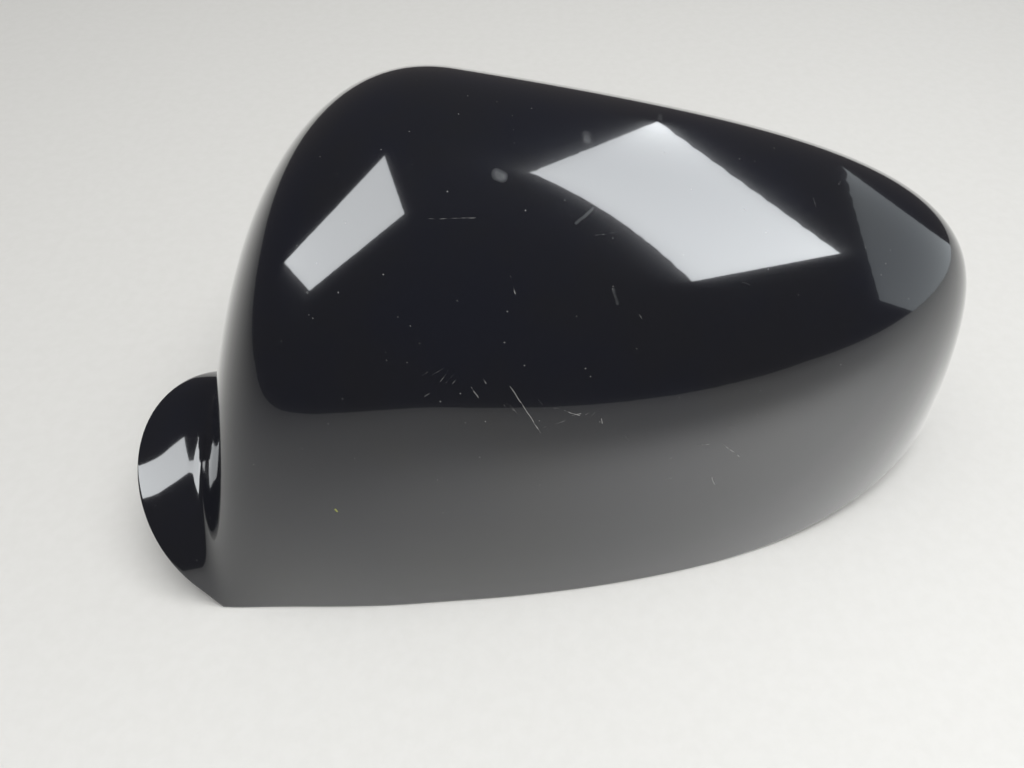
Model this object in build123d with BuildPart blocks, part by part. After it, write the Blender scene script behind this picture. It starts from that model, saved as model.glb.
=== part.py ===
from build123d import *
from math import cos, exp, log, pi, sin, sqrt
import os

# Car door mirror cover, left hand: one moulded shell lying on its rim, dome up.
# X runs from the foot (-) to the outboard tip (+), Y from the lower edge (-) to the upper edge (+).

# Shell
wall = 2.5
lip_depth = 4.0

# Dome of the mirror head, X stations and heights above the rim plane
head_left = -90.5
head_right = 105.5
crown_x = -26.5
crown_height = 105.0
crown_fall = 0.22
crown_y = -4.0
crown_drift = 0.07
left_swing = -15.5
right_swing = -6.0
near_half = 62.0
far_half = 72.0

# Fullness of the ends: 2 is an ellipse, more is squarer
plan_left = 2.6
plan_right = 2.1
crown_left = 2.1
crown_right = 6.0

# Foot that wraps the hinge neck
foot_x = -97.6
foot_reach = 46.3
foot_height = 34.8
foot_y = -31.0
foot_drift = 0.09
foot_near = 41.0
foot_far = 38.0
foot_round = 1.83

# Valley between dome and foot
valley_soft = 6.6
valley_power = 5.2

# The sections are half eggs on an axis below the rim, which gives the wall its draft there
axis_drop = 20.0
loft_left = -116.0
shoulder_x = -74.5
foot_stations = 14
head_stations = 24
arch_points = 9

# Rim line: flat, rising toward the tip, and cut by one inclined plane at the foot's end
cut_x = -86.6
cut_y = -67.0
cut_slope = 1.31
cut_tilt = 0.34
rise_x = 36.0
rise_height = 13.5

# Snap clips inside, three along each long edge
clip_width = 14.0
clip_thick = 2.2
clip_stand = 9.0
clip_low = 12.0
clip_brace_low = 22.0
clip_brace = 1.8
barb_reach = 2.4
barb_rise = 6.0
clip_near_x = (-56.0, -12.0, 36.0)
clip_far_x = (-44.0, 0.0, 46.0)

# Stiffening ribs under the dome
rib_thick = 2.0
rib_depth = 7.0
rib_low = 40.0
cross_rib_x = (-34.0, 24.0)
long_rib_y = 12.0
long_rib_from = -66.0
long_rib_to = 74.0

# Locating pins under the dome
pin_r = 3.0
pin_collar_r = 5.0
pin_end_z = 52.0
pin_length = 12.0
pin_spots = ((-52.0, -16.0), (58.0, -4.0))


def dome(u, power):
    return (1 - min(1.0, abs(u)) ** power) ** (1 / power)


def soft_max(a, b):
    top = max(a, b)
    return top + valley_soft * log(exp((a - top) / valley_soft) + exp((b - top) / valley_soft))


# Near edge, crown and far edge across the cover at one station, and the crown's height over the axis
def section(x, inset):
    to_left = min(1.0, max(0.0, (crown_x - x) / (crown_x - head_left - inset)))
    to_right = min(1.0, max(0.0, (x - crown_x) / (head_right - inset - crown_x)))
    run = max(x, head_left + inset) - crown_x
    plan = dome(to_left, plan_left) * dome(to_right, plan_right)
    head_y = crown_y + crown_drift * run + left_swing * to_left**2.2 + right_swing * to_right**2.2
    head_rise = crown_height - inset - crown_fall * run + axis_drop
    head_rise = head_rise * dome(to_left, crown_left) * dome(to_right, crown_right)
    spread = dome((foot_x - x) / (foot_reach - inset), foot_round)
    neck_y = foot_y + foot_drift * (x - foot_x)
    foot_rise = (foot_height - inset + axis_drop) * spread
    near = -soft_max((near_half - inset) * plan - head_y, (foot_near - inset) * spread - neck_y)
    far = soft_max((far_half - inset) * plan + head_y, (foot_far - inset) * spread + neck_y)
    head_share = head_rise**valley_power
    foot_share = foot_rise**valley_power
    crown = (head_share * head_y + foot_share * neck_y) / (head_share + foot_share)
    return near, crown, far, (head_share + foot_share) ** (1 / valley_power)


# One point of the half egg at a station: turn 0 is the near edge, 0.5 the crown, 1 the far edge
def arch_point(x, turn, inset):
    near, crown, far, rise = section(x, inset)
    middle = (near + far) / 2
    sweep_sin = sin(pi * turn)
    y = middle - (far - near) / 2 * cos(pi * turn) + (crown - middle) * sweep_sin**2
    return y, rise * sweep_sin - axis_drop


# Y of the skin at a station and height, on the near or the far side
def skin_y(x, z, inset, side):
    near, crown, far, rise = section(x, inset)
    middle = (near + far) / 2
    level = (z + axis_drop) / rise
    return middle + side * (far - near) / 2 * sqrt(1 - level**2) + (crown - middle) * level**2


# Stations of the loft: even steps over the foot and the valley, then crowded at the shoulder and the tip
def station_list(inset):
    start = loft_left - inset
    step = (shoulder_x - start) / foot_stations
    run = head_right - inset - shoulder_x
    places = [start + step * i for i in range(foot_stations)]
    for i in range(head_stations + 1):
        places.append(shoulder_x + run * (1 - cos(0.985 * pi * i / head_stations)) / 2)
    return places


# Solid inside the outer skin moved in by an inset, lofted along X.
# The arches share one spacing of their points, which keeps the lofted surface light and fair.
def skin(inset):
    turns = [j / (arch_points - 1) for j in range(arch_points)]
    with BuildPart() as body:
        for x in station_list(inset):
            points = [Vector(*arch_point(x, turn, inset)) for turn in turns]
            steep = Vector(0, pi * section(x, inset)[3])
            with BuildSketch(Plane.YZ.offset(x)):
                with BuildLine():
                    add(Edge.make_spline(points, tangents=[steep, -steep], parameters=turns, scale=False))
                    Line(points[-1], points[0])
                make_face()
        loft()
    return body.part


# Everything above the rim line moved up by a lift, square to the flat rim and to the inclined cut
def above_rim(lift):
    cut = Plane(origin=(cut_x, cut_y, 0), z_dir=(cut_slope, -cut_tilt, 1))
    with BuildPart() as space:
        with BuildSketch(Plane.XZ):
            with BuildLine():
                flat = Line((loft_left - 40, lift), (rise_x, lift))
                rise = TangentArc(flat @ 1, (head_right, rise_height + lift), tangent=flat % 1)
                end = Line(rise @ 1, (head_right + 20, rise_height + lift))
                Polyline(end @ 1, (head_right + 20, 200), (loft_left - 40, 200), flat @ 0)
            make_face()
        extrude(amount=120, both=True)
        split(bisect_by=cut.offset(lift))
    return space.part


outer = skin(0)
core = skin(wall / 2)
hollow = skin(wall)
deep = skin(wall + rib_depth)

# Stiffening ribs: plates cut to follow the dome
with BuildPart() as ribs:
    for x in cross_rib_x:
        with BuildSketch(Plane.YZ.offset(x - rib_thick / 2)):
            with Locations((0, rib_low + 60)):
                Rectangle(160, 120)
        extrude(amount=rib_thick)
    with BuildSketch(Plane.XZ.offset(-long_rib_y - rib_thick / 2)):
        with Locations(((long_rib_from + long_rib_to) / 2, rib_low + 60)):
            Rectangle(long_rib_to - long_rib_from, 120)
    extrude(amount=rib_thick)
    add(deep, mode=Mode.SUBTRACT)

# Room inside the cover: the hollow without the ribs, clips and pins, which are drawn right through its skin
with BuildPart() as room:
    add(hollow)
    add(ribs.part, mode=Mode.SUBTRACT)
    for side, places in ((-1, clip_near_x), (1, clip_far_x)):
        for x in places:
            foot = skin_y(x, clip_brace_low, wall, side)
            face = foot - side * clip_stand
            with BuildSketch(Plane.YZ.offset(x - clip_width / 2)):
                with BuildLine():
                    Polyline(
                        (face, clip_low),
                        (face, 90),
                        (face - side * clip_thick, 90),
                        (face - side * clip_thick, clip_low + barb_rise),
                        (face - side * (clip_thick + barb_reach), clip_low + barb_rise),
                        (face - side * clip_thick / 2, clip_low),
                        close=True,
                    )
                make_face()
            extrude(amount=clip_width, mode=Mode.SUBTRACT)
            for edge in (-1, 1):
                with BuildSketch(Plane.YZ.offset(x + edge * (clip_width - clip_brace) / 2 - clip_brace / 2)):
                    with BuildLine():
                        Polyline(
                            (foot + side * wall * 3, clip_brace_low),
                            (foot, clip_brace_low),
                            (face, clip_brace_low + clip_stand),
                            (face, 90),
                            (foot + side * wall * 3, 90),
                            close=True,
                        )
                    make_face()
                extrude(amount=clip_brace, mode=Mode.SUBTRACT)
    with BuildSketch(Plane.XY.offset(pin_end_z)):
        with Locations(*pin_spots):
            Circle(pin_r)
    extrude(amount=70, mode=Mode.SUBTRACT)
    with BuildSketch(Plane.XY.offset(pin_end_z + pin_length)):
        with Locations(*pin_spots):
            Circle(pin_collar_r)
    extrude(amount=60, mode=Mode.SUBTRACT)

# Space under the lip, where the wall is half as thick
with BuildPart() as lip_space:
    add(core)
    add(above_rim(lip_depth), mode=Mode.SUBTRACT)

# The cover: the outer skin's solid less the room, cut along the rim line and thinned at the lip
with BuildPart() as mirror_cover:
    add(outer)
    add(room.part, mode=Mode.SUBTRACT)
    add(above_rim(0), mode=Mode.INTERSECT)
    add(lip_space.part, mode=Mode.SUBTRACT)

mirror_cover.part.label = "mirror_cover"
os.makedirs("parts", exist_ok=True)
export_step(mirror_cover.part, "parts/mirror_cover.step")
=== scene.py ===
import math

import bmesh
import bpy
import numpy as np
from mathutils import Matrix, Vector


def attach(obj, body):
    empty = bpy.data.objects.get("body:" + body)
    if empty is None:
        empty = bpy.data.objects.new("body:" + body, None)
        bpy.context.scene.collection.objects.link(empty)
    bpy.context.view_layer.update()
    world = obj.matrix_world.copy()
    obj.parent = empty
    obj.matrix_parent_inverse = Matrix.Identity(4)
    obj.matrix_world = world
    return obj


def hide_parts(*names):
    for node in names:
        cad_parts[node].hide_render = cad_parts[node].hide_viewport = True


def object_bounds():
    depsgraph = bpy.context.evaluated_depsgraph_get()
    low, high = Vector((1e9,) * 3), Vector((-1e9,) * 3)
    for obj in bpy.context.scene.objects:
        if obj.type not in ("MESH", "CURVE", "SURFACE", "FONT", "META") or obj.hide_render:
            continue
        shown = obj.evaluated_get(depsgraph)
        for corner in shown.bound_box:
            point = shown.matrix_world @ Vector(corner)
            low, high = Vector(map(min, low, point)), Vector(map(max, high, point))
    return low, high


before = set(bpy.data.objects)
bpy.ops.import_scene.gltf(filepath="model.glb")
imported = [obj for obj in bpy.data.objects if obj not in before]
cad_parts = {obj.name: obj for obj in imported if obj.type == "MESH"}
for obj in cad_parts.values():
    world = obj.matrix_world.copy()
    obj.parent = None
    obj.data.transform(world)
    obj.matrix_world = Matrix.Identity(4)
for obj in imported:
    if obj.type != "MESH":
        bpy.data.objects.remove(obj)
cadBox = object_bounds()
scene = bpy.context.scene
scene.view_settings.view_transform = "Standard"
print("stage: frame loaded")

mm = 0.001
tiny = 1e-9  # keeps a division clear of zero
meshGap = 1e-4  # slack in telling a vertex by its place

# the cover's outline in millimetres, as the CAD has it, and the layout of its mesh
skin = dict(
    wall=2.5, lipDepth=4.0,
    headLeft=-90.5, headRight=105.5, crownX=-26.5, crownHeight=105.0, crownFall=0.22,
    crownY=-4.0, crownDrift=0.07, leftSwing=-15.5, rightSwing=-6.0, swingPower=2.2,
    nearHalf=62.0, farHalf=72.0,
    planLeft=2.6, planRight=2.1, crownLeft=2.1, crownRight=6.0,
    footX=-97.6, footReach=46.3, footHeight=34.8, footY=-31.0, footDrift=0.09,
    footNear=41.0, footFar=38.0, footRound=1.83,
    valleySoft=6.6, valleyPower=5.2, axisDrop=20.0,
    cutX=-86.6, cutY=-67.0, cutSlope=1.31, cutTilt=0.34, riseX=36.0, riseHeight=13.5,
    rayCentre=(-24.0, -2.0, -20.0), rayStretch=1.45, rayStart=1.0, rayEnd=190.0, halvings=44,
    segments=100, rimRound=0.35, rimSegments=3, sliver=0.004, sharpFrom=38.0, paintDepth=1.0,
)


def dome(share, power):
    return (1 - np.minimum(1.0, np.abs(share)) ** power) ** (1 / power)


def softMax(a, b):
    top = np.maximum(a, b)
    soft = skin["valleySoft"]
    return top + soft * np.log(np.exp((a - top) / soft) + np.exp((b - top) / soft))


def crossSection(x, inset):  # near edge, crown, far edge and rise of the arch at x
    toLeft = np.clip((skin["crownX"] - x) / (skin["crownX"] - skin["headLeft"] - inset), 0, 1)
    toRight = np.clip((x - skin["crownX"]) / (skin["headRight"] - inset - skin["crownX"]), 0, 1)
    run = np.maximum(x, skin["headLeft"] + inset) - skin["crownX"]
    plan = dome(toLeft, skin["planLeft"]) * dome(toRight, skin["planRight"])
    headY = skin["crownY"] + skin["crownDrift"] * run
    headY = headY + skin["leftSwing"] * toLeft ** skin["swingPower"]
    headY = headY + skin["rightSwing"] * toRight ** skin["swingPower"]
    headRise = skin["crownHeight"] - inset - skin["crownFall"] * run + skin["axisDrop"]
    headRise = headRise * dome(toLeft, skin["crownLeft"]) * dome(toRight, skin["crownRight"])
    spread = dome((skin["footX"] - x) / (skin["footReach"] - inset), skin["footRound"])
    neckY = skin["footY"] + skin["footDrift"] * (x - skin["footX"])
    footRise = (skin["footHeight"] - inset + skin["axisDrop"]) * spread
    near = -softMax((skin["nearHalf"] - inset) * plan - headY, (skin["footNear"] - inset) * spread - neckY)
    far = softMax((skin["farHalf"] - inset) * plan + headY, (skin["footFar"] - inset) * spread + neckY)
    headShare = headRise ** skin["valleyPower"]
    footShare = footRise ** skin["valleyPower"]
    both = np.maximum(headShare + footShare, tiny)
    crown = (headShare * headY + footShare * neckY) / both
    return near, crown, far, both ** (1 / skin["valleyPower"])


def skinLevel(points, inset):  # below 0 inside the skin, above 0 outside it
    near, crown, far, rise = crossSection(points[:, 0], inset)
    middle = (near + far) / 2
    level = (points[:, 2] + skin["axisDrop"]) / rise
    across = points[:, 1] - middle - (crown - middle) * level ** 2
    return (across / ((far - near) / 2)) ** 2 + level ** 2 - 1


def archPoint(x, turn, inset):  # turn 0 is the near edge, 0.5 the crown, 1 the far edge
    near, crown, far, rise = crossSection(x, inset)
    middle = (near + far) / 2
    sweep = np.sin(np.pi * turn)
    y = middle - (far - near) / 2 * np.cos(np.pi * turn) + (crown - middle) * sweep ** 2
    return y, rise * sweep - skin["axisDrop"]


def skinY(x, z, inset, side):  # the skin at a height, on the near side (-1) or the far side (1)
    near, crown, far, rise = crossSection(x, inset)
    middle = (near + far) / 2
    level = (z + skin["axisDrop"]) / rise
    return middle + side * (far - near) / 2 * math.sqrt(1 - level ** 2) + (crown - middle) * level ** 2


def rimHeight(x, y, lift):  # flat, rising toward the tip, and cut on a slant at the foot's end
    reach = skin["headRight"] - skin["riseX"]
    bow = (reach ** 2 + skin["riseHeight"] ** 2) / (2 * skin["riseHeight"])
    run = np.clip(x - skin["riseX"], 0, reach)
    level = bow - np.sqrt(bow ** 2 - run ** 2) + lift
    slant = skin["cutSlope"] * (skin["cutX"] - x) + skin["cutTilt"] * (y - skin["cutY"])
    return np.maximum(level, slant + lift * math.hypot(skin["cutSlope"], skin["cutTilt"], 1))


def narrowDown(low, high, isBefore, halvings):  # halves each range round the place where isBefore ends
    for _ in range(halvings):
        middle = (low + high) / 2
        before = isBefore(middle)
        low = np.where(before, middle, low)
        high = np.where(before, high, middle)
    return low


def crossing(pointAt, count, inset):  # where each path leaves the skin
    low = np.full(count, skin["rayStart"])
    high = np.full(count, skin["rayEnd"])

    def isInside(reach):
        return skinLevel(pointAt(reach), inset) < 0

    return pointAt(narrowDown(low, high, isInside, skin["halvings"]))


def roofZ(x, y, inset):
    spot = crossing(lambda z: np.column_stack([[x], [y], z]), 1, inset)
    return float(spot[0, 2])


def rimPoints(flat, inset, lift):  # the rim line seen along level headings
    centre = np.array(skin["rayCentre"])

    def along(reach):
        spot = centre[:2] + flat * reach[:, None]
        return np.column_stack([spot, rimHeight(spot[:, 0], spot[:, 1], lift)])

    return crossing(along, len(flat), inset)


def levelHeading(points):
    away = points[:, :2] - np.array(skin["rayCentre"])[:2]
    return away / np.linalg.norm(away, axis=1, keepdims=True)


def placeVerts(verts, points):
    for v, p in zip(verts, points):
        v.co = p


def layOnSkin(verts, inset, lift):  # spreads a half cube over the skin, its edge on the rim line
    centre = np.array(skin["rayCentre"])
    heading = np.tan(np.array([v.co for v in verts]) * np.pi / 4) * (skin["rayStretch"], 1, 1)
    heading /= np.linalg.norm(heading, axis=1, keepdims=True)
    flat = heading[:, :2] / np.maximum(np.linalg.norm(heading[:, :2], axis=1, keepdims=True), tiny)
    corner = levelHeading(np.array([[skin["cutX"], skin["cutY"]]]))[0]
    edge = np.flatnonzero(heading[:, 2] < meshGap)
    flat[edge[np.argmax(flat[edge] @ corner)]] = corner  # one rim vertex sits on the sharp near corner
    rim = rimPoints(flat, inset, lift) - centre
    lowest = np.arctan2(rim[:, 2], np.linalg.norm(rim[:, :2], axis=1))
    turn = lowest + (np.pi / 2 - lowest) * np.arcsin(np.clip(heading[:, 2], 0, 1)) / (np.pi / 2)
    rays = np.column_stack([flat * np.cos(turn)[:, None], np.sin(turn)])
    placeVerts(verts, crossing(lambda reach: centre + rays * reach[:, None], len(rays), inset))


def only(geom, kind):
    return [g for g in geom if isinstance(g, kind)]


def newObject(bm, name):
    mesh = bpy.data.meshes.new(name)
    bm.to_mesh(mesh)
    bm.free()
    obj = bpy.data.objects.new(name, mesh)
    scene.collection.objects.link(obj)
    return obj


def shellMesh():
    bm = bmesh.new()
    bmesh.ops.create_cube(bm, size=2)
    bmesh.ops.subdivide_edges(bm, edges=bm.edges[:], cuts=skin["segments"] - 1, use_grid_fill=True)
    bmesh.ops.delete(bm, geom=[v for v in bm.verts if v.co.z < -meshGap], context="VERTS")
    outside = bm.verts[:]
    twin = bmesh.ops.duplicate(bm, geom=bm.verts[:] + bm.edges[:] + bm.faces[:])["geom"]
    inside = only(twin, bmesh.types.BMVert)
    bmesh.ops.reverse_faces(bm, faces=only(twin, bmesh.types.BMFace))
    layOnSkin(outside, 0, 0)
    layOnSkin(inside, skin["wall"], skin["lipDepth"])
    insideSet = set(inside)
    rim = [e for e in bm.edges if e.is_boundary]
    outerRim = [e for e in rim if e.verts[0] not in insideSet]
    loop = [e for e in rim if e.verts[0] in insideSet]
    for lift in (skin["lipDepth"], 0.0):  # the ledge above the lip, then the lip itself
        loop = bmesh.ops.extrude_edge_only(bm, edges=loop)["geom"]
        verts = only(loop, bmesh.types.BMVert)
        flat = levelHeading(np.array([v.co for v in verts]))
        placeVerts(verts, rimPoints(flat, skin["wall"] / 2, lift))
        loop = [e for e in only(loop, bmesh.types.BMEdge) if e.is_boundary]
    bmesh.ops.bridge_loops(bm, edges=outerRim + loop)
    bmesh.ops.recalc_face_normals(bm, faces=bm.faces[:])
    bmesh.ops.bevel(bm, geom=outerRim, offset=skin["rimRound"], offset_type="OFFSET",
                    segments=skin["rimSegments"], profile=0.5, affect="EDGES", material=-1)
    return bm


cover = newObject(shellMesh(), "mirrorCover")
print("stage: shell", len(cover.data.vertices), "vertices")

# stiffening ribs under the dome; sunk is the depth below the outer skin at which a fitting ends in the wall
rib = dict(thick=2.0, depth=7.0, low=40.0, crossX=(-34.0, 24.0), longY=12.0, longFrom=-66.0, longTo=74.0,
           steps=60, sunk=1.3)


def plateFromGrid(name, spotOf):  # a plate bent so that both its sides follow the wall
    bm = bmesh.new()
    bmesh.ops.create_grid(bm, x_segments=rib["steps"], y_segments=2, size=0.5)
    grown = bmesh.ops.extrude_face_region(bm, geom=bm.faces[:])["geom"]
    bmesh.ops.translate(bm, verts=only(grown, bmesh.types.BMVert), vec=(0, 0, 1))
    share = np.array([v.co for v in bm.verts]) + (0.5, 0.5, 0)
    deep = skin["wall"] + rib["depth"]
    insets = deep + share[:, 1] * (rib["sunk"] - deep)
    placeVerts(bm.verts[:], spotOf(share[:, 0], insets, rib["thick"] * (share[:, 2] - 0.5)))
    bmesh.ops.recalc_face_normals(bm, faces=bm.faces[:])
    return newObject(bm, name)


def crossRib(x):
    def spotOf(along, insets, off):
        first = np.arcsin((rib["low"] + skin["axisDrop"]) / crossSection(x + off, insets)[3]) / np.pi
        y, z = archPoint(x + off, first + (1 - 2 * first) * along, insets)
        return np.column_stack([x + off, y, z])

    return plateFromGrid("crossRib", spotOf)


def longRib():
    def spotOf(along, insets, off):
        x = rib["longFrom"] + (rib["longTo"] - rib["longFrom"]) * along
        return crossing(lambda z: np.column_stack([x, rib["longY"] + off, z]), len(x), insets)

    return plateFromGrid("longRib", spotOf)


# snap clips along both long edges, a barbed plate on two braces each
clip = dict(width=14.0, thick=2.2, stand=9.0, low=12.0, braceLow=22.0, brace=1.8, barbReach=2.4, barbRise=6.0,
            nearX=(-56.0, -12.0, 36.0), farX=(-44.0, 0.0, 46.0),
            sunk=1.3, lap=0.5, braceSteps=8, aboveDome=200.0)


def profileBar(name, profile, x, width):  # a flat profile in Y and Z, drawn out along X
    bm = bmesh.new()
    face = bm.faces.new([bm.verts.new((x, y, z)) for y, z in profile])
    grown = bmesh.ops.extrude_face_region(bm, geom=[face])["geom"]
    bmesh.ops.translate(bm, verts=only(grown, bmesh.types.BMVert), vec=(width, 0, 0))
    for v in bm.verts:  # an edge drawn above the dome comes down into the wall
        if v.co.z > clip["aboveDome"] - meshGap:
            v.co.z = roofZ(v.co.x, v.co.y, clip["sunk"])
    bmesh.ops.recalc_face_normals(bm, faces=bm.faces[:])
    return newObject(bm, name)


def clipBrace(start, face, side):
    middle = start + clip["brace"] / 2
    top = roofZ(middle, face, clip["sunk"])
    steps = clip["braceSteps"]
    heights = [top + (clip["braceLow"] - top) * step / steps for step in range(1, steps + 1)]
    wallSide = [(float(skinY(middle, z, clip["sunk"], side)), z) for z in heights]
    lapped = face - side * clip["lap"]
    plateSide = [(lapped, clip["braceLow"] + clip["stand"] + clip["lap"]), (lapped, top)]
    return profileBar("clipBrace", plateSide + wallSide, start, clip["brace"])


def snapClip(x, side):
    foot = float(skinY(x, clip["braceLow"], skin["wall"], side))
    face = foot - side * clip["stand"]
    back = face - side * clip["thick"]
    shelf = clip["low"] + clip["barbRise"]
    plate = profileBar("clipPlate", [
        (face, clip["low"]), (face, clip["aboveDome"]), (back, clip["aboveDome"]), (back, shelf),
        (back - side * clip["barbReach"], shelf), (face - side * clip["thick"] / 2, clip["low"]),
    ], x - clip["width"] / 2, clip["width"])
    starts = [x + edge * (clip["width"] - clip["brace"]) / 2 - clip["brace"] / 2 for edge in (-1, 1)]
    return [plate] + [clipBrace(start, face, side) for start in starts]


# locating pins with their collars
pin = dict(radius=3.0, collar=5.0, endZ=52.0, length=12.0, chamfer=0.5, chamferSegments=2, sides=48,
           spots=((-52.0, -16.0), (58.0, -4.0)), sunk=1.3, endGap=0.1)


def roundPost(name, spot, radius, low):
    top = roofZ(spot[0], spot[1], pin["sunk"])
    bm = bmesh.new()
    bmesh.ops.create_cone(bm, cap_ends=True, segments=pin["sides"], radius1=radius, radius2=radius,
                          depth=top - low)
    bmesh.ops.translate(bm, verts=bm.verts[:], vec=(spot[0], spot[1], (top + low) / 2))
    lower = [e for e in bm.edges if max(v.co.z for v in e.verts) < low + pin["endGap"]]
    bmesh.ops.bevel(bm, geom=lower, offset=pin["chamfer"], offset_type="OFFSET",
                    segments=pin["chamferSegments"], profile=0.5, affect="EDGES", material=-1)
    for v in bm.verts:  # the upper end follows the roof
        if v.co.z > top - pin["endGap"]:
            v.co.z = roofZ(v.co.x, v.co.y, pin["sunk"])
    return newObject(bm, name)


fittings = [crossRib(x) for x in rib["crossX"]] + [longRib()]
for side, places in ((-1, clip["nearX"]), (1, clip["farX"])):
    for x in places:
        fittings += snapClip(x, side)
for spot in pin["spots"]:
    fittings.append(roundPost("locatingPin", spot, pin["radius"], pin["endZ"]))
    fittings.append(roundPost("pinCollar", spot, pin["collar"], pin["endZ"] + pin["length"]))
print("stage: inside fittings", len(fittings))


def growOnto(shell, extras):  # one moulding: the fittings are fused into the wall
    group = bpy.data.collections.new("fittings")
    scene.collection.children.link(group)
    for obj in extras:
        scene.collection.objects.unlink(obj)
        group.objects.link(obj)
    fuse = shell.modifiers.new("fuse", "BOOLEAN")
    fuse.operation = "UNION"
    fuse.operand_type = "COLLECTION"
    fuse.collection = group
    fuse.solver = "EXACT"
    bpy.context.view_layer.update()
    ready = shell.evaluated_get(bpy.context.evaluated_depsgraph_get())
    fused = bpy.data.meshes.new_from_object(ready)
    shell.modifiers.clear()
    old, shell.data = shell.data, fused
    bpy.data.meshes.remove(old)
    for obj in extras:
        bpy.data.objects.remove(obj)
    bpy.data.collections.remove(group)


growOnto(cover, fittings)
print("stage: fused", len(cover.data.polygons), "faces")


def finishShell(obj):  # cleans the fused mesh, splits paint from plastic and sets it on the CAD box in metres
    bm = bmesh.new()
    bm.from_mesh(obj.data)
    bmesh.ops.dissolve_degenerate(bm, edges=bm.edges[:], dist=skin["sliver"])
    bmesh.ops.remove_doubles(bm, verts=bm.verts[:], dist=skin["sliver"])
    middles = np.array([f.calc_center_median() for f in bm.faces])
    painted = skinLevel(middles, skin["paintDepth"]) > 0
    for f, isPaint in zip(bm.faces, painted):
        f.smooth = True
        f.material_index = 0 if isPaint else 1
    for e in bm.edges:
        e.smooth = e.calc_face_angle(0) < math.radians(skin["sharpFrom"])
    spots = np.array([v.co for v in bm.verts])
    low, high = spots.min(0), spots.max(0)
    scale = (np.array(cadBox[1]) - np.array(cadBox[0])) / (high - low)
    shift = np.array(cadBox[0]) - low * scale
    placeVerts(bm.verts[:], spots * scale + shift)
    bm.to_mesh(obj.data)
    bm.free()
    above = obj.data.attributes.new("aboveRim", "FLOAT", "POINT")  # millimetres over the rim line
    heights = spots[:, 2] - rimHeight(spots[:, 0], spots[:, 1], 0)
    above.data.foreach_set("value", heights.astype(np.float32))
    return scale, shift


frameScale, frameShift = finishShell(cover)
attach(cover, "root")
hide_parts("mirror_cover")

# camera of the photograph, in millimetres and pixels, and how sight lines are followed to the skin
photoCamera = dict(place=(-14.0, -157.1, 194.9), tilt=40.0, focalPixels=820.0, wide=1024, high=768,
                   sensor=36.0, clipStart=5.0,
                   sightStart=60.0, sightEnd=420.0, stride=0.4, halvings=24, nudge=0.05)


def makeCamera():
    data = bpy.data.cameras.new("photoCamera")
    data.sensor_fit = "HORIZONTAL"
    data.sensor_width = photoCamera["sensor"]
    data.lens = photoCamera["focalPixels"] * photoCamera["sensor"] / photoCamera["wide"]
    data.clip_start = photoCamera["clipStart"] * mm
    obj = bpy.data.objects.new("photoCamera", data)
    obj.location = Vector(photoCamera["place"]) * mm
    obj.rotation_euler = (math.radians(photoCamera["tilt"]), 0, 0)
    scene.collection.objects.link(obj)
    scene.camera = obj


makeCamera()


def sightLines(pixels):
    pixels = np.asarray(pixels, float)
    tilt = math.radians(photoCamera["tilt"])
    across = pixels[:, 0] - photoCamera["wide"] / 2
    up = photoCamera["high"] / 2 - pixels[:, 1]
    ahead = photoCamera["focalPixels"]
    sight = np.column_stack([across, up * math.cos(tilt) + ahead * math.sin(tilt),
                             up * math.sin(tilt) - ahead * math.cos(tilt)])
    return sight / np.linalg.norm(sight, axis=1, keepdims=True)


def seenOnSkin(pixels):  # the skin's points and mirrored sight lines under pixels of the photograph
    sight = sightLines(pixels)
    place = np.array(photoCamera["place"])

    def isOutside(reach):
        return skinLevel(place + sight * reach[:, None], 0) > 0

    stride = photoCamera["stride"]
    reach = np.full(len(sight), photoCamera["sightStart"])
    outside = isOutside(reach)
    while outside.any() and reach.max() <= photoCamera["sightEnd"]:  # until every sight line is inside
        reach = np.where(outside, reach + stride, reach)
        outside = isOutside(reach)
    reach = narrowDown(reach - stride, reach, isOutside, photoCamera["halvings"])
    spots = place + sight * reach[:, None]
    nudges = photoCamera["nudge"] * np.eye(3)
    normals = np.column_stack([skinLevel(spots + n, 0) - skinLevel(spots - n, 0) for n in nudges])
    normals /= np.linalg.norm(normals, axis=1, keepdims=True)
    return spots, sight - 2 * (sight * normals).sum(1, keepdims=True) * normals


def onCover(pixels):
    return seenOnSkin(pixels)[0] * frameScale + frameShift


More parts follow.
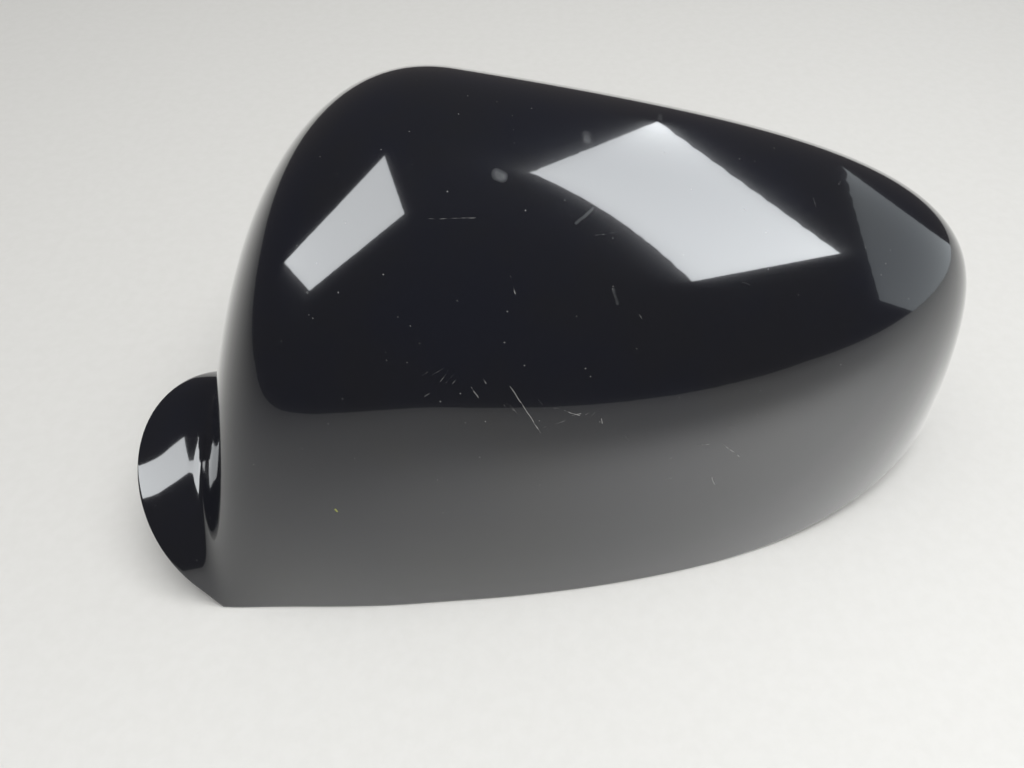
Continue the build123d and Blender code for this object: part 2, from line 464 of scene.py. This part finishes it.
class Wiring:  # short ways to add and join nodes in one tree
    def __init__(self, tree):
        self.nodes, self.links = tree.nodes, tree.links

    def put(self, kind, inputs=None, **settings):
        node = self.nodes.new(kind)
        for key, value in settings.items():
            setattr(node, key, value)
        for key, value in (inputs or {}).items():
            self.feed(node.inputs[key], value)
        return node

    def feed(self, socket, value):
        if isinstance(value, bpy.types.NodeSocket):
            self.links.new(value, socket)
        else:
            socket.default_value = value

    def math(self, operation, a, b=0.0, c=0.0, clamp=False):
        inputs = {0: a, 1: b, 2: c}
        return self.put("ShaderNodeMath", inputs, operation=operation, use_clamp=clamp).outputs[0]

    def times(self, a, b):
        return self.math("MULTIPLY", a, b)

    def most(self, a, b):
        return self.math("MAXIMUM", a, b)

    def vector(self, operation, a, b=(0, 0, 0)):
        return self.put("ShaderNodeVectorMath", {0: a, 1: b}, operation=operation)

    def stretch(self, a, scale):
        return self.put("ShaderNodeVectorMath", {0: a, "Scale": scale}, operation="SCALE").outputs[0]

    def ramp(self, value, start, end, low=0.0, high=1.0):
        inputs = {"Value": value, "From Min": start, "From Max": end, "To Min": low, "To Max": high}
        return self.put("ShaderNodeMapRange", inputs, interpolation_type="SMOOTHSTEP").outputs[0]

    def noise(self, coords, scale, detail=2.0, roughness=0.5, output="Fac"):
        inputs = {"Vector": coords, "Scale": scale, "Detail": detail, "Roughness": roughness}
        return self.put("ShaderNodeTexNoise", inputs).outputs[output]

    def bump(self, height, strength, distance):
        inputs = {"Height": height, "Strength": strength, "Distance": distance}
        return self.put("ShaderNodeBump", inputs).outputs["Normal"]

    def mix(self, share, a, b):
        node = self.put("ShaderNodeMix", data_type="RGBA")
        for key, value in ((0, share), (6, a), (7, b)):  # factor and the two colours
            self.feed(node.inputs[key], value)
        return node.outputs[2]

    def objectCoords(self):
        return self.put("ShaderNodeTexCoord").outputs["Object"]


def newMaterial(name):
    material = bpy.data.materials.new(name)
    material.use_nodes = True
    return material, Wiring(material.node_tree), material.node_tree.nodes["Principled BSDF"].inputs


def emptyTree(owner):  # of a material or a world
    owner.use_nodes = True
    owner.node_tree.nodes.clear()
    return Wiring(owner.node_tree)


def markGroup():  # distance to a line from its start; pull is the line over its squared length
    group = bpy.data.node_groups.new("markLine", "ShaderNodeTree")
    for key in ("Vector", "Start", "Line", "Pull"):
        group.interface.new_socket(key, in_out="INPUT", socket_type="NodeSocketVector")
    group.interface.new_socket("Gap", in_out="OUTPUT", socket_type="NodeSocketFloat")
    wire = Wiring(group)
    given = wire.put("NodeGroupInput").outputs
    away = wire.vector("SUBTRACT", given["Vector"], given["Start"]).outputs[0]
    along = wire.vector("DOT_PRODUCT", away, given["Pull"]).outputs["Value"]
    nearest = wire.stretch(given["Line"], wire.math("ADD", along, 0.0, clamp=True))
    wire.put("NodeGroupOutput", {"Gap": wire.vector("DISTANCE", away, nearest).outputs["Value"]})
    return group


# wear on the paint: pixels of the photograph, two for a spot, four for a line, a fifth number is its own
# half width; half widths are in millimetres
wearMarks = dict(
    scratches=dict(halfWidth=0.12, lines=[
        (511, 386, 541, 432), (472, 387, 479, 397), (484, 377, 487, 383), (565, 410, 580, 415),
        (573, 415, 581, 413), (723, 444, 740, 456), (712, 477, 715, 485), (511, 276, 516, 293),
        (602, 418, 603, 423), (640, 314, 643, 319),
    ]),
    hairlines=dict(halfWidth=0.09, lines=[
        (539, 399, 545, 408), (554, 408, 560, 408), (586, 414, 589, 412), (592, 415, 595, 412),
        (423, 375, 428, 372), (434, 374, 444, 368), (441, 381, 449, 370), (447, 382, 454, 374),
        (453, 383, 457, 379), (425, 396, 430, 393), (509, 402, 519, 415), (501, 396, 506, 407),
        (506, 401, 514, 410), (544, 427, 566, 420), (625, 434, 630, 441), (698, 444, 710, 444),
        (729, 426, 735, 427), (667, 478, 673, 478), (595, 235, 616, 232), (814, 198, 817, 211),
        (425, 219, 476, 217), (613, 288, 618, 304), (743, 282, 750, 285),
    ]),
    specks=dict(halfWidth=0.18, lines=[
        (525, 365), (586, 368), (591, 376), (486, 421), (461, 393), (441, 401), (384, 274),
        (339, 292), (308, 292), (505, 342), (448, 191), (508, 311), (526, 210),
    ]),
    smudges=dict(halfWidth=1.6, lines=[(498, 174, 502, 176)]),
    smears=dict(halfWidth=0.45, lines=[
        (577, 223, 593, 208), (614, 289, 618, 303), (587, 134, 588, 140, 1.4), (660, 119, 661, 115, 0.8),
    ]),
    fleck=dict(halfWidth=0.4, lines=[(336, 509, 338, 511)]),
)
markStride = 24  # pixels; short steps keep a long mark on the curved skin
markCore = 0.2  # share of the half width that is fully worn


def markGaps(wire, coords, group, mark):  # distance to each step of one mark
    first = np.array(mark[:2])
    if len(mark) == 2:
        return [wire.vector("DISTANCE", coords, onCover([first])[0]).outputs["Value"]]
    last = np.array(mark[2:4])
    count = 1 + int(np.linalg.norm(last - first) / markStride)
    spots = onCover([first + (last - first) * step / count for step in range(count + 1)])
    gaps = []
    for start, end in zip(spots, spots[1:]):
        line = end - start
        inputs = {"Vector": coords, "Start": start, "Line": line, "Pull": line / (line @ line)}
        gaps.append(wire.put("ShaderNodeGroup", inputs, node_tree=group).outputs["Gap"])
    return gaps


def markMask(wire, coords, group, marks):  # 1 on the marks, fading to 0 at their half width
    nearest = None
    for mark in marks["lines"]:
        for gap in markGaps(wire, coords, group, mark):
            if len(mark) > 4:
                gap = wire.times(gap, marks["halfWidth"] / mark[4])
            nearest = gap if nearest is None else wire.math("MINIMUM", nearest, gap)
    width = marks["halfWidth"] * mm
    return wire.ramp(nearest, width * markCore, width, 1.0, 0.0)


# gloss black paint under clear coat; a span is where a pattern starts and ends, and its values there
paintLook = dict(
    black=(0.0115, 0.012, 0.015, 1), bluer=(0.0100, 0.0110, 0.0165, 1),
    scratch=(0.34, 0.34, 0.33, 1), dust=(0.30, 0.30, 0.29, 1),
    smudge=(0.10, 0.105, 0.11, 1), fleck=(0.34, 0.36, 0.10, 1),
    roughness=0.12, haze=0.05, specular=0.25, coatRoughness=0.025,
    wornRoughness=0.4, smudgeRoughness=0.3, wornCoat=0.85, dullCoat=0.45,
    mottleScale=24.0, mottleSpan=(0.35, 0.65), scuffScale=650.0,
    shakeScale=420.0, shakeReach=0.0005,
    breakScale=900.0, breakSpan=(0.40, 0.62, 0.15, 1.0), hairShare=0.55,
    patchScale=380.0, patchSpan=(0.30, 0.70, 0.55, 1.0), smearShare=0.45, smudgeShare=0.75,
    dustScale=290.0, dustSize=0.045, dustCore=0.5, dustShare=0.6,
    peelScale=330.0, peelHeight=0.0000025, scratchDepth=3.0,
)


def paintMaterial():
    look = paintLook
    material, wire, sockets = newMaterial("glossPaint")
    coords = wire.objectCoords()
    group = markGroup()
    wander = wire.noise(coords, look["shakeScale"], 1.0, output="Color")
    wander = wire.vector("SUBTRACT", wander, (0.5, 0.5, 0.5)).outputs[0]
    wander = wire.stretch(wander, look["shakeReach"])
    shaky = wire.vector("ADD", coords, wander).outputs[0]  # no scratch runs quite straight

    scratch = markMask(wire, shaky, group, wearMarks["scratches"])
    broken = wire.ramp(wire.noise(coords, look["breakScale"]), *look["breakSpan"])
    hair = markMask(wire, shaky, group, wearMarks["hairlines"])
    hair = wire.times(hair, wire.times(broken, look["hairShare"]))
    speck = markMask(wire, coords, group, wearMarks["specks"])
    worn = wire.most(wire.most(scratch, hair), speck)
    patchy = wire.ramp(wire.noise(coords, look["patchScale"]), *look["patchSpan"])
    smear = wire.times(markMask(wire, shaky, group, wearMarks["smears"]), look["smearShare"])
    smudge = markMask(wire, shaky, group, wearMarks["smudges"])
    smudge = wire.times(wire.most(smudge, smear), patchy)
    fleck = markMask(wire, shaky, group, wearMarks["fleck"])
    cellInputs = {"Vector": coords, "Scale": look["dustScale"]}
    cells = wire.put("ShaderNodeTexVoronoi", cellInputs, feature="F1").outputs["Distance"]
    dust = wire.ramp(cells, look["dustSize"] * look["dustCore"], look["dustSize"], 1.0, 0.0)
    dust = wire.times(dust, look["dustShare"])

    mottle = wire.noise(coords, look["mottleScale"], 4.0, 0.6)
    scuff = wire.noise(coords, look["scuffScale"], 3.0, 0.65)
    colour = wire.mix(wire.ramp(mottle, *look["mottleSpan"]), look["black"], look["bluer"])
    colour = wire.mix(wire.times(smudge, look["smudgeShare"]), colour, look["smudge"])
    colour = wire.mix(dust, colour, look["dust"])
    colour = wire.mix(worn, colour, look["scratch"])
    colour = wire.mix(fleck, colour, look["fleck"])
    haze = wire.times(wire.math("ADD", mottle, scuff), look["haze"])
    rough = wire.math("ADD", haze, look["roughness"] - look["haze"])
    rough = wire.math("MULTIPLY_ADD", wire.most(worn, dust), look["wornRoughness"], rough)
    rough = wire.math("MULTIPLY_ADD", smudge, look["smudgeRoughness"], rough, clamp=True)
    coat = wire.math("SUBTRACT", 1.0, wire.times(wire.most(worn, fleck), look["wornCoat"]))
    coat = wire.math("SUBTRACT", coat, wire.times(wire.most(smudge, dust), look["dullCoat"]), clamp=True)
    peel = wire.noise(coords, look["peelScale"], 1.0)
    peel = wire.math("SUBTRACT", peel, wire.times(scratch, look["scratchDepth"]))
    bump = wire.bump(peel, 1.0, look["peelHeight"])
    for key, value in (("Base Color", colour), ("Roughness", rough), ("Specular IOR Level", look["specular"]),
                       ("Coat Weight", coat), ("Coat Roughness", look["coatRoughness"]),
                       ("Normal", bump), ("Coat Normal", bump)):
        wire.feed(sockets[key], value)
    return material


# bare moulded plastic inside, with paint dust drifting in over the rim
plasticLook = dict(
    black=(0.020, 0.020, 0.021, 1), grey=(0.034, 0.034, 0.035, 1),
    overspray=(0.0115, 0.012, 0.015, 1), bloom=(0.060, 0.060, 0.058, 1),
    roughness=0.44, grainRoughness=0.16, sprayGloss=0.2,
    grainScale=1900.0, grainStrength=0.5, grainHeight=0.00003,
    mottleScale=55.0, mottleSpan=(0.35, 0.68),
    flowScale=(9.0, 70.0, 70.0), flowSpan=(0.55, 0.75), flowShare=0.35,
    sprayReach=16.0, sprayRagged=14.0, sprayGrain=(0.25, 0.6, 0.35, 1.0),
)


def plasticMaterial():
    look = plasticLook
    material, wire, sockets = newMaterial("barePlastic")
    coords = wire.objectCoords()
    above = wire.put("ShaderNodeAttribute", attribute_name="aboveRim").outputs["Fac"]
    mottle = wire.noise(coords, look["mottleScale"], 4.0, 0.6)
    drawn = wire.put("ShaderNodeMapping", {"Vector": coords, "Scale": look["flowScale"]}).outputs[0]
    flow = wire.ramp(wire.noise(drawn, 1.0, 3.0), *look["flowSpan"])
    grain = wire.noise(coords, look["grainScale"], 2.0, 0.7)
    colour = wire.mix(wire.ramp(mottle, *look["mottleSpan"]), look["black"], look["grey"])
    colour = wire.mix(wire.times(flow, look["flowShare"]), colour, look["bloom"])
    ragged = wire.math("SUBTRACT", above, look["sprayRagged"] / 2)
    ragged = wire.math("MULTIPLY_ADD", mottle, look["sprayRagged"], ragged)
    spray = wire.ramp(ragged, 0.0, look["sprayReach"], 1.0, 0.0)
    spray = wire.times(spray, wire.ramp(grain, *look["sprayGrain"]))
    colour = wire.mix(spray, colour, look["overspray"])
    rough = wire.math("MULTIPLY_ADD", grain, look["grainRoughness"], look["roughness"])
    rough = wire.math("SUBTRACT", rough, wire.times(spray, look["sprayGloss"]), clamp=True)
    bump = wire.bump(grain, look["grainStrength"], look["grainHeight"])
    for key, value in (("Base Color", colour), ("Roughness", rough), ("Normal", bump)):
        wire.feed(sockets[key], value)
    return material


cover.data.materials.append(paintMaterial())
cover.data.materials.append(plasticMaterial())
print("stage: finishes", len(cover.data.materials))

# pale floor, whose front edge gives the horizon in the paint
floorLook = dict(corners=((-1.80, -0.57), (0.70, -0.57), (0.70, 0.28), (-1.80, 0.75)),
                 colour=(0.765, 0.758, 0.728, 1), paler=(0.785, 0.778, 0.750, 1),
                 roughness=0.6, grainScale=260.0, grainSpan=(0.3, 0.7))


def makeFloor():
    look = floorLook
    bm = bmesh.new()
    bm.faces.new([bm.verts.new((x, y, 0)) for x, y in look["corners"]])
    floor = newObject(bm, "floor")
    material, wire, sockets = newMaterial("paleFloor")
    cloudy = wire.noise(wire.objectCoords(), look["grainScale"], 5.0, 0.6)
    colour = wire.mix(wire.ramp(cloudy, *look["grainSpan"]), look["colour"], look["paler"])
    wire.feed(sockets["Base Color"], colour)
    wire.feed(sockets["Roughness"], look["roughness"])
    floor.data.materials.append(material)


makeFloor()

# light cards that show only in the paint, their corners at pixels of the photograph, reach in metres
cardLooks = dict(
    rightPanel=dict(corners=((530, 172), (657, 121), (840, 253), (692, 281)), bend=(4, -9),
                    fades=(0.80, 0.52, 1.0, 0.95), colour=(0.94, 0.975, 1.0, 1), strength=12.0, reach=1.0),
    leftPanel=dict(corners=((285, 262), (385, 155), (405, 213), (310, 290)), bend=(0, 0),
                   fades=(0.95, 0.85, 0.90, 1.0), colour=(0.95, 0.98, 1.0, 1), strength=9.2, reach=0.4),
    tipPanel=dict(corners=((842, 166), (952, 246), (948, 322), (880, 300)), bend=(0, 0),
                  fades=(0.8, 1.0, 1.0, 1.0), colour=(0.92, 1.0, 1.04, 1), strength=1.0, reach=1.0),
)
cardSteps = 10

# and a pool of light on the floor, fading out from its middle
poolLook = dict(middle=(0.10, -0.115), spread=(0.09, 0.05), low=(-0.16, -0.28), high=(0.36, 0.0), lift=0.0004,
                steps=48, colour=(1, 1, 0.99, 1), strength=0.9)


def gridObject(name, steps, spotOf, fadeOf):
    bm = bmesh.new()
    bmesh.ops.create_grid(bm, x_segments=steps, y_segments=steps, size=0.5)
    share = np.array([v.co for v in bm.verts]) + 0.5
    s, t = share[:, :1], share[:, 1:2]
    placeVerts(bm.verts[:], spotOf(s, t))
    card = newObject(bm, name)
    fade = card.data.attributes.new("fade", "FLOAT", "POINT")
    fade.data.foreach_set("value", fadeOf(s, t).ravel().astype(np.float32))
    return card


def makeGlow(card, look):
    material = bpy.data.materials.new(card.name + "Light")
    wire = emptyTree(material)
    fade = wire.put("ShaderNodeAttribute", attribute_name="fade").outputs["Fac"]
    inputs = {"Color": look["colour"], "Strength": wire.times(fade, look["strength"])}
    glow = wire.put("ShaderNodeEmission", inputs).outputs[0]
    clear = wire.put("ShaderNodeBsdfTransparent").outputs[0]
    both = wire.put("ShaderNodeAddShader", {0: glow, 1: clear}).outputs[0]
    wire.put("ShaderNodeOutputMaterial", {"Surface": both})
    card.data.materials.append(material)
    card.visible_camera = False
    card.visible_diffuse = False
    card.visible_shadow = False


def makeCard(name, look):
    def between(corners, s, t):
        first, second, third, fourth = np.array(corners, float)
        return (first * (1 - s) + second * s) * (1 - t) + (fourth * (1 - s) + third * s) * t

    def spotOf(s, t):
        bow = 4 * t * (1 - t) * (1 - s)  # the edge from the fourth corner to the first is bent
        spots, away = seenOnSkin(between(look["corners"], s, t) + bow * np.array(look["bend"]))
        return spots * mm + away * look["reach"]

    makeGlow(gridObject(name, cardSteps, spotOf, lambda s, t: between(look["fades"], s, t)), look)


def makePool():
    look = poolLook
    low, high = np.array(look["low"]), np.array(look["high"])

    def spotOf(s, t):
        return np.hstack([low + (high - low) * np.hstack([s, t]), np.full_like(s, look["lift"])])

    def fadeOf(s, t):
        away = (spotOf(s, t)[:, :2] - look["middle"]) / look["spread"]
        return np.exp(-0.5 * (away ** 2).sum(1))

    makeGlow(gridObject("lightPool", look["steps"], spotOf, fadeOf), look)


for name, look in cardLooks.items():
    makeCard(name, look)
makePool()

# soft lamps overhead, aimed at the cover
lampLooks = dict(
    keyLamp=dict(place=(0.15, -0.10, 0.72), size=0.45, power=3.5),
    fillLamp=dict(place=(-0.30, 0.10, 0.80), size=0.6, power=0.9),
)


def makeLamp(name, look):
    data = bpy.data.lights.new(name, "AREA")
    data.size = look["size"]
    data.energy = look["power"]
    lamp = bpy.data.objects.new(name, data)
    lamp.location = look["place"]
    lamp.rotation_euler = (-Vector(look["place"])).to_track_quat("-Z", "Y").to_euler()
    lamp.visible_glossy = False
    scene.collection.objects.link(lamp)


for name, look in lampLooks.items():
    makeLamp(name, look)

# the studio: soft light for matt surfaces, dark in reflections, pale behind the floor
studioLook = dict(soft=(0.38, 0.38, 0.38, 1), dark=(0.060, 0.056, 0.058, 1), pale=(0.78, 0.775, 0.76, 1))


def makeStudio():
    world = bpy.data.worlds.new("studio")
    scene.world = world
    wire = emptyTree(world)
    path = wire.put("ShaderNodeLightPath").outputs

    def shade(key):
        return wire.put("ShaderNodeBackground", {"Color": studioLook[key]}).outputs[0]

    def choose(share, first, second):
        return wire.put("ShaderNodeMixShader", {0: share, 1: first, 2: second}).outputs[0]

    unseen = choose(path["Is Glossy Ray"], shade("soft"), shade("dark"))
    wire.put("ShaderNodeOutputWorld", {"Surface": choose(path["Is Camera Ray"], unseen, shade("pale"))})


makeStudio()
print("stage: light")
